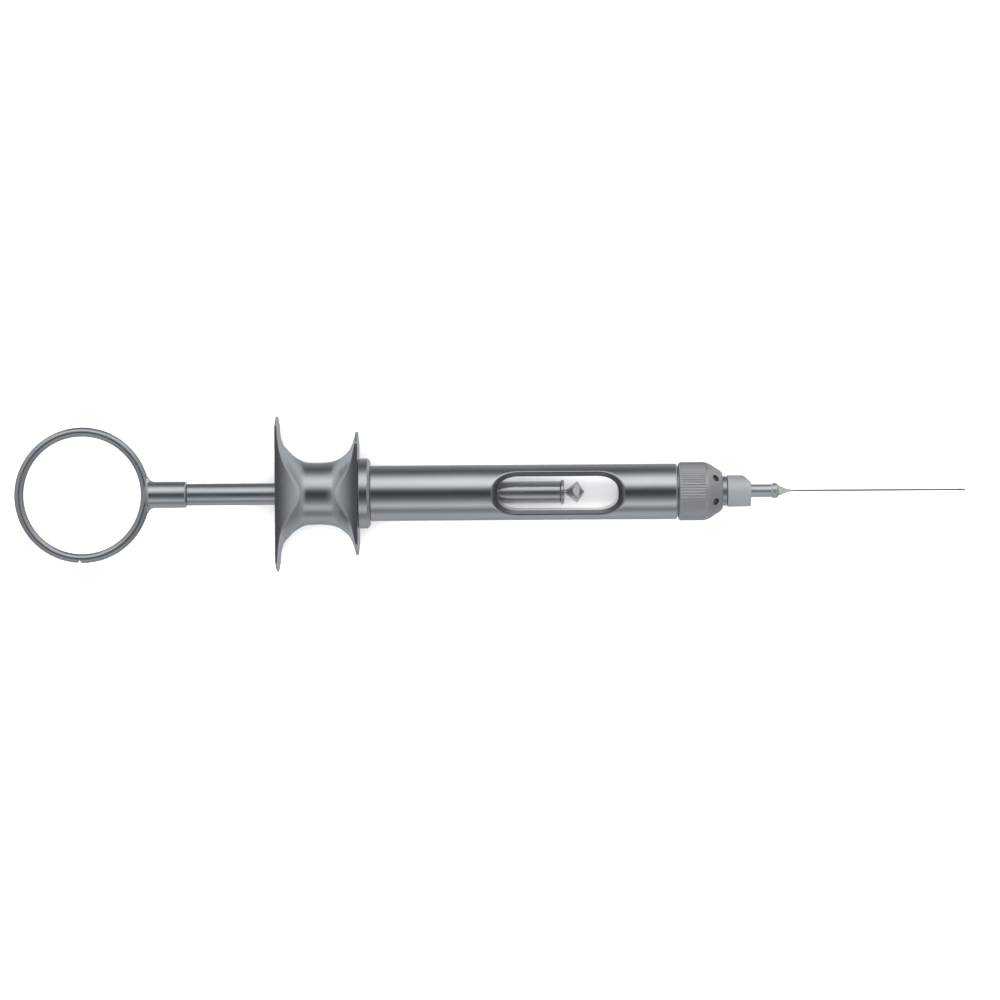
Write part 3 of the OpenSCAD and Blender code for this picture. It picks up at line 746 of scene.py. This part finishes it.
def build_cap():
    """Union cap: straight knurl, rounded shoulder with six drilled holes, inner thread."""
    a0, k1, a1 = 80.35, 85.8, 89.1
    cr, nr = 5.85, 3.65
    crest, groove, nk, per = cr - 0.015, 0.11, 64, 9
    cols = nk * per
    turn = math.radians(3)                       # the sectors' borders, half way between the holes
    shoulder = spline([(k1 + 0.1, cr - 0.12), (k1 + 0.85, cr - 0.45), (a1 - 1.25, cr - 1.2), (a1 - 0.5, nr + 0.5),
                       (a1, nr)], 10)
    s0 = [(a0, 5.3), (a0, cr - 0.3, 0.05), (a0 + 0.16, cr - 0.13, 0.05)]
    body = rounded(s0 + [(a0 + 0.24, cr - 0.12)], closed=False)
    knurl = [(a0 + 0.25, cr - 0.12), (a0 + 0.33, cr - 0.03), (a0 + 0.42, crest)]
    knurl += [(a0 + 0.42 + (k1 - 0.26 - a0 - 0.42) * i / 12, crest) for i in range(1, 13)]
    knurl += [(k1 - 0.18, cr - 0.03), (k1 - 0.13, cr - 0.12), (k1 - 0.02, cr - 0.14), (k1 + 0.1, cr - 0.12)]

    def cut(a, t, r):
        if r < cr - 0.08 or a < a0 + 0.3 or a > k1 - 0.14:
            return 0.0
        u = ((t - turn) * nk / TAU) % 1.0
        return -groove * max(0.0, 1 - abs(u - 0.5) * 2 / 0.72)

    sh = Shell()
    lathe(body[:-1] + knurl, cols, closed=False, cut=cut, sh=sh, phase=turn)
    # shoulder in six sectors, each round one hole
    nsec, nrow = cols // 6, 40
    arc = np.array(shoulder)
    seg = np.concatenate([[0], np.cumsum(np.linalg.norm(np.diff(arc, axis=0), axis=1))])
    total = seg[-1]

    def at(s):
        return np.interp(s, seg, arc[:, 0]), np.interp(s, seg, arc[:, 1])

    hole_r = 0.7
    n_out = 2 * (nsec + nrow)

    def point(s, t):
        a, r = at(s)
        return np.array([a, r * math.sin(t), r * math.cos(t)])

    # each hole's axis leans out at 45 degrees; its outline is where that cylinder meets the shoulder
    def outline_for(tc):
        er = np.array([0, math.sin(tc), math.cos(tc)])
        ax = (er + np.array([1, 0, 0])) / math.sqrt(2)
        e1 = (np.array([1, 0, 0]) - er) / math.sqrt(2)
        e2 = np.cross(ax, e1)
        c = np.array([a1 - 1.35, 0, 0]) + er * 4.75
        res = []
        for i in range(n_out):
            # start at the corner (low s, low angle) as the rectangle does
            if i < nsec:
                w = -135 + 90 * i / nsec
            elif i < nsec + nrow:
                w = -45 + 90 * (i - nsec) / nrow
            elif i < 2 * nsec + nrow:
                w = 45 + 90 * (i - nsec - nrow) / nsec
            else:
                w = 135 + 90 * (i - 2 * nsec - nrow) / nrow
            w = math.radians(w)
            res.append((w, c, ax, e1, e2))
        return res

    def meet(c, ax, e1, e2, w, rad):
        d = c + e1 * (rad * math.sin(w)) + e2 * (rad * math.cos(w))
        lo_h, hi_h = -1.5, 2.5
        for _ in range(40):
            h = 0.5 * (lo_h + hi_h)
            q = d + ax * h
            r = math.hypot(q[1], q[2])
            rr = np.interp(q[0], arc[:, 0], arc[:, 1])
            if q[0] < arc[0, 0]:
                rr = arc[0, 1]
            if q[0] > arc[-1, 0] or r > rr:
                hi_h = h
            else:
                lo_h = h
        return d + ax * lo_h

    for kk in range(6):
        tc = math.radians(60 * kk + 33)          # from straight up towards the left side
        spec = outline_for(tc)
        edge = np.array([meet(c, ax, e1, e2, w, hole_r + 0.09) for w, c, ax, e1, e2 in spec])
        lip = np.array([meet(c, ax, e1, e2, w, hole_r) for w, c, ax, e1, e2 in spec])
        axis = spec[0][2]
        # (s, t) of the outline
        es = np.interp(edge[:, 0], arc[:, 0], seg)
        et = np.unwrap(np.arctan2(edge[:, 1], edge[:, 2]))
        et += TAU * round((tc - et.mean()) / TAU)
        # the sector's border, walked in the order of w: low side, then one flank, high side, other flank
        e2 = spec[0][4]
        tang = np.array([0, math.cos(tc), -math.sin(tc)])          # direction of growing angle
        plus = 1 if float(np.dot(e2, tang)) > 0 else -1
        half = math.pi / 6
        pts = [(0.0, tc + plus * half * (-1 + 2 * i / nsec)) for i in range(nsec)]
        pts += [(total * i / nrow, tc + plus * half) for i in range(nrow)]
        pts += [(total, tc + plus * half * (1 - 2 * i / nsec)) for i in range(nsec)]
        pts += [(total * (1 - i / nrow), tc - plus * half) for i in range(nrow)]
        pts = np.array(pts)
        rings = []
        for t in (0, 0.12, 0.25, 0.4, 0.55, 0.7, 0.83, 0.93, 1.0):
            s = pts[:, 0] + (es - pts[:, 0]) * t
            q = pts[:, 1] + (et - pts[:, 1]) * t
            rings.append([point(a, b) for a, b in zip(s, q)])
        rings[-1] = edge
        b = lip - axis * 0.09
        for k in (1, 2, 3):
            t = k / 3
            rings.append((1 - t) ** 2 * edge + 2 * t * (1 - t) * lip + t * t * b)
        for dpt in (0.5, 0.95):
            # straight down to a flat floor square to the axis
            c = spec[0][1]
            floor = c - axis * 0.68
            h = ((b - floor) @ axis)
            rings.append(b - axis[None, :] * (h * dpt)[:, None])
        h = ((b - floor) @ axis)
        low = b - axis[None, :] * h[:, None]
        rings.append(low)
        sh.sheet(rings[:11], wrap=True)
        # kind 1, the hole's wall and floor, takes the painted shade
        sh.sheet(rings[10:], wrap=True, kind=1)
        cen = low.mean(0)
        sh.fan(low, cen - axis * 0.35, kind=1)
    # front face, bore and inner thread
    inner = rounded([(a1, nr), (a1, boss_gap), (86.8, boss_gap, 0.05), (86.8, 4.8, 0.05), (85.8, 4.8, 0.05),
                     (85.8, 5.24)], 0.12, closed=False)
    inner += runs(85.75, a0 + 0.2, 5.25, 0.16)
    inner += [(a0, 5.3)]

    def inner_cut(a, t, r):
        if abs(r - 5.25) > 0.005 or a > 85.7 or a < a0 + 0.3:
            return 0.0
        s = (a - t / TAU) % 1.0
        tri = min(1.0, max(0.0, (abs(s - 0.5) * 2 - 0.1) / 0.7))
        return 0.16 * (1 - tri)

    # columns of the sectors and of the lathe share their angles, so the seams close
    lathe(inner, cols, closed=False, cut=inner_cut, sh=sh, phase=turn)
    sh.make("needle_cap_knurled", "cap", "satin_steel", ["needle_cap"], [m_satin, m_hole_painted_shade], weld=2e-6)


boss_gap = 3.03


def build_nipple():
    p = [(85.6, 3.5), (85.6, 4.6), (85.7, 4.7), (86.6, 4.7), (86.7, 4.6), (86.7, 2.95, 0.04), (89.95, 2.95, 0.08),
         (90.05, 2.85, 0.05), (90.05, 2.16, 0.05), (90.3, 2.16)]
    prof = rounded(p, 0.06, closed=True)
    prof = [q for q in prof]
    out = rounded([(86.1, 0.6), (86.1, 3.5, 0.03)] + p, 0.06, closed=False)
    out += runs(90.4, 92.8, 2.4, 0.07) + rounded([(92.9, 2.2), (92.95, 2.05, 0.05), (92.95, 0.6, 0.1), (92.0, 0.6)],
                                                 closed=False)
    lathe(out + [out[0]], 144, closed=False, cut=helix(2.4, 0.25, 0.75, 90.3, 92.9, 0.3)).make(
        "needle_nipple_threaded", "nipple", "satin_steel", ["needle_nipple"], m_thread)


def build_washer():
    p = [(85.02, 0.5), (85.02, 3.32), (85.2, 3.47), (86.08, 3.47), (86.08, 0.5)]
    lathe(rounded(p, 0.15, n=5), 96).make("seat_washer_silicone", "nipple", "white_silicone", ["seat_washer"], m_silicone)


# -------------------------------------------------------------------- needle

def build_hub():
    """Hub nut with one facet on its front edge, on the +Y side."""
    r, a0, a1 = 3.15, 90.13, 94.8
    p = rounded([(a0, 2.46, 0.05), (a0, r, 0.14), (a1, r, 0.16), (a1, 1.36, 0.08), (93.7, 1.36, 0.04),
                 (93.7, 2.46, 0.04)], 0.1, n=5)
    # more rows near the front edge for the facet
    dense = []
    for i, q in enumerate(p):
        nx = p[(i + 1) % len(p)]
        dense.append(q)
        d = math.dist(q, nx)
        if d > 0.3 and q[1] > 1.3 and nx[1] > 1.3:
            n = int(d / 0.07)
            dense += [(q[0] + (nx[0] - q[0]) * k / n, q[1] + (nx[1] - q[1]) * k / n) for k in range(1, n)]
    cols = 216
    rows = []
    lim = (a1 - 1.5) + r                       # a + y on the facet
    for a, rr in dense:
        row = []
        for j in range(cols):
            t = TAU * j / cols
            y, z, x = rr * math.sin(t), rr * math.cos(t), a
            over = (x + y) - lim
            if rr > 1.5 and over > -0.1:
                k = 0.1
                o = over if over > k else (over + k) ** 2 / (4 * k)
                x -= o / 2
                y -= o / 2
            row.append((x, y, z))
        rows.append(row)
    rows.append(rows[0])
    sh = Shell()
    sh.sheet(rows, wrap=True)
    sh.make("hub_nut_faceted", "hub_nut", "hub_alloy", ["needle_hub_nut"], m_alloy)


def build_needle():
    nr, n1, h = 1.3, 100.4, 94.8
    bead = spline([(n1 - 1.62, nr), (n1 - 1.4, nr + 0.08), (n1 - 1.1, nr + 0.23), (n1 - 0.8, nr + 0.25),
                   (n1 - 0.45, nr + 0.2), (n1 - 0.18, nr + 0.05), (n1, nr - 0.2)], 5)
    p = [(93.0, 0.2), (93.0, 2.1), (93.1, 2.2), (h - 1.15, 2.2, 0.05), (h - 1.15, nr, 0.03), (96.0, nr), (97.5, nr)] + \
        bead + [(n1, 0.6), (n1, 0.2)]
    lathe(rounded(p, 0.06), 128).make("nozzle_beaded", "needle", "needle_steel", ["needle_nozzle"], m_drawn)
    g = spline([(n1, 0.95), (n1 + 0.25, 0.93), (n1 + 0.6, 0.84), (n1 + 1.1, 0.6), (n1 + 1.6, 0.42), (n1 + 2.2, 0.29),
                (n1 + 3.0, 0.215)], 6)
    lathe(rounded([(n1, 0.2)] + g + [(n1 + 3.0, 0.2)], 0.02), 96).make(
        "cannula_glue_fillet", "needle", "clear_resin", ["cannula_glue"], m_resin)

    # cannula: tube with a ground bevel at both ends
    r, b, a0, a1 = 0.2, 0.1, 79.8, 137.9
    cols = 48
    st = list(np.linspace(a0, a1, 60))
    rows = []

    def bounds_at(z):
        # front bevel runs back 13 degrees from the point at the tube's lower side, rear bevel 20 degrees
        hi = a1 - max(0.0, (z + r)) / math.tan(math.radians(13))
        lo = a0 + max(0.0, (z + r)) / math.tan(math.radians(20))
        return lo, hi

    for rr, order in ((r, st), (b, st[::-1])):
        for a in order:
            row = []
            f = (a - a0) / (a1 - a0)
            for j in range(cols):
                t = TAU * j / cols
                y, z = rr * math.sin(t), rr * math.cos(t)
                lo, hi = bounds_at(z)
                row.append((lo + (hi - lo) * f, y, z))
            rows.append(row)
    rows.append(rows[0])
    sh = Shell()
    sh.sheet(rows, wrap=True)
    sh.make("cannula_tube", "needle", "needle_steel", ["cannula"], m_tube, weld=1e-7)


build_ring()
build_shank()
build_rod()
build_disc()
build_harpoon()
build_grip()
build_guides()
build_retainer()
build_collar()
build_barrel()
build_cap()
build_nipple()
build_washer()
build_hub()
build_needle()


# --------------------------------------------------------------------- stage

def srgb(v):
    v /= 255.0
    return v / 12.92 if v <= 0.04045 else ((v + 0.055) / 1.055) ** 2.4


def floor_material():
    n = Nodes("floor_pale")
    t = n.noise(9, (1, 1, 1), 3)
    n.link(n.mix(t, (0.90, 0.90, 0.90), (0.93, 0.93, 0.93)), n.p.inputs["Base Color"])
    n.p.inputs["Roughness"].default_value = 0.9
    n.p.inputs["Specular IOR Level"].default_value = 0.1
    return n.m


def build_stage():
    lo, hi = CAD_BOX
    me = bpy.data.meshes.new("floor")
    s = 4.0
    cx = 0.5 * (lo.x + hi.x)
    me.from_pydata([(cx - s, -s, lo.z - 5e-5), (cx + s, -s, lo.z - 5e-5), (cx + s, s, lo.z - 5e-5), (cx - s, s, lo.z - 5e-5)],
                   [], [(0, 1, 2, 3)])
    o = bpy.data.objects.new("floor", me)
    bpy.context.scene.collection.objects.link(o)
    me.materials.append(floor_material())
    o.visible_glossy = False

    # a wide soft light high over the table
    ld = bpy.data.lights.new("overhead_soft", "AREA")
    ld.shape = "SQUARE"
    ld.size = 2.6
    ld.energy = FLOOR_LIGHT
    lamp = bpy.data.objects.new("overhead_soft", ld)
    lamp.location = (cx, 0, 1.6)
    lamp.visible_glossy = False
    lamp.visible_camera = False
    bpy.context.scene.collection.objects.link(lamp)


FLOOR_LIGHT = 88.0
REFLECT = 0.72
# soft boxes and dark gaps round the axis: (degrees from straight up, + towards the left side; grey level)
ENV = [(-180, 150), (-158, 142), (-138, 146), (-116, 158), (-98, 152), (-82, 122), (-70, 134), (-55, 178), (-46, 168),
       (-32, 128), (-20, 92), (-8, 66), (3, 64), (10, 92), (19, 146), (30, 203), (44, 220), (54, 214), (66, 186),
       (80, 136), (98, 90), (114, 104), (128, 120), (146, 140), (162, 150), (180, 150)]
FADE = (0.22, 0.66, 0.0, 1.0)
EVEN = [(0.0, 0.85), (1.0, 0.33), (0.30, 0.80), (0.52, 0.52), (0.8, 0.36)]


def build_world():
    w = bpy.data.worlds.new("studio")
    bpy.context.scene.world = w
    w.use_nodes = True
    t = w.node_tree
    t.nodes.clear()
    out = t.nodes.new("ShaderNodeOutputWorld")
    bg = t.nodes.new("ShaderNodeBackground")
    t.links.new(bg.outputs[0], out.inputs[0])
    co = t.nodes.new("ShaderNodeTexCoord")
    s = t.nodes.new("ShaderNodeSeparateXYZ")
    t.links.new(co.outputs["Generated"], s.inputs[0])

    def m(op, a, b=0.0):
        n = t.nodes.new("ShaderNodeMath")
        n.operation = op
        for i, x in enumerate((a, b)):
            if hasattr(x, "is_output"):
                t.links.new(x, n.inputs[i])
            else:
                n.inputs[i].default_value = x
        return n.outputs[0]

    ang = m("ARCTAN2", s.outputs["Y"], s.outputs["Z"])
    f = m("ADD", m("DIVIDE", ang, TAU), 0.5)
    ramp = t.nodes.new("ShaderNodeValToRGB")
    ramp.color_ramp.interpolation = "CARDINAL"
    els = ramp.color_ramp.elements
    while len(els) > 1:
        els.remove(els[-1])
    for i, (deg, v) in enumerate(ENV):
        e = els[0] if i == 0 else els.new((deg + 180) / 360)
        e.position = (deg + 180) / 360
        g = srgb(v) / REFLECT
        cool = max(0.0, 1 - g / 0.5)                    # dark parts of a studio read slightly blue
        e.color = (g * (0.955 - 0.07 * cool), g, g * (1.04 + 0.07 * cool), 1)
    t.links.new(f, ramp.inputs[0])
    # tilted towards the two ends, the dark gap overhead gives way to an even light that is
    # stronger on the left side than on the right
    side = m("ABSOLUTE", s.outputs["X"])
    fade = t.nodes.new("ShaderNodeMapRange")
    fade.interpolation_type = "SMOOTHSTEP"
    t.links.new(side, fade.inputs["Value"])
    for k, x in zip(("From Min", "From Max", "To Min", "To Max"), FADE):
        fade.inputs[k].default_value = x
    even = t.nodes.new("ShaderNodeValToRGB")
    even.color_ramp.interpolation = "EASE"
    for i, (pos, g) in enumerate(EVEN):
        e = even.color_ramp.elements[i] if i < 2 else even.color_ramp.elements.new(pos)
        e.position = pos
        e.color = (g * 0.955, g, g * 1.045, 1)
    t.links.new(side, even.inputs[0])
    lean = m("ADD", m("MULTIPLY", s.outputs["Y"], 0.42), 1.0)
    scaled = t.nodes.new("ShaderNodeVectorMath")
    scaled.operation = "SCALE"
    t.links.new(even.outputs[0], scaled.inputs[0])
    t.links.new(lean, scaled.inputs["Scale"])
    mix = t.nodes.new("ShaderNodeMix")
    mix.data_type = "RGBA"
    t.links.new(fade.outputs["Result"], mix.inputs[0])
    t.links.new(ramp.outputs[0], mix.inputs[6])
    t.links.new(scaled.outputs[0], mix.inputs[7])
    # what the camera sees past the floor is plain and pale
    lp = t.nodes.new("ShaderNodeLightPath")
    m2 = t.nodes.new("ShaderNodeMix")
    m2.data_type = "RGBA"
    t.links.new(lp.outputs["Is Camera Ray"], m2.inputs[0])
    t.links.new(mix.outputs[2], m2.inputs[6])
    m2.inputs[7].default_value = (0.95, 0.95, 0.95, 1)
    t.links.new(m2.outputs[2], bg.inputs["Color"])


def build_camera():
    cd = bpy.data.cameras.new("camera")
    cd.lens = 144
    cd.sensor_width = 36
    cd.clip_start = 0.01
    cam = bpy.data.objects.new("camera", cd)
    bpy.context.scene.collection.objects.link(cam)
    cam.location = (0.00198, -0.00150, AXIS + 0.8)
    cam.rotation_euler = (0, 0, -0.00682)
    bpy.context.scene.camera = cam


build_stage()
build_world()
build_camera()
bpy.context.scene.view_settings.view_transform = "Standard"
bpy.context.scene.view_settings.look = "None"
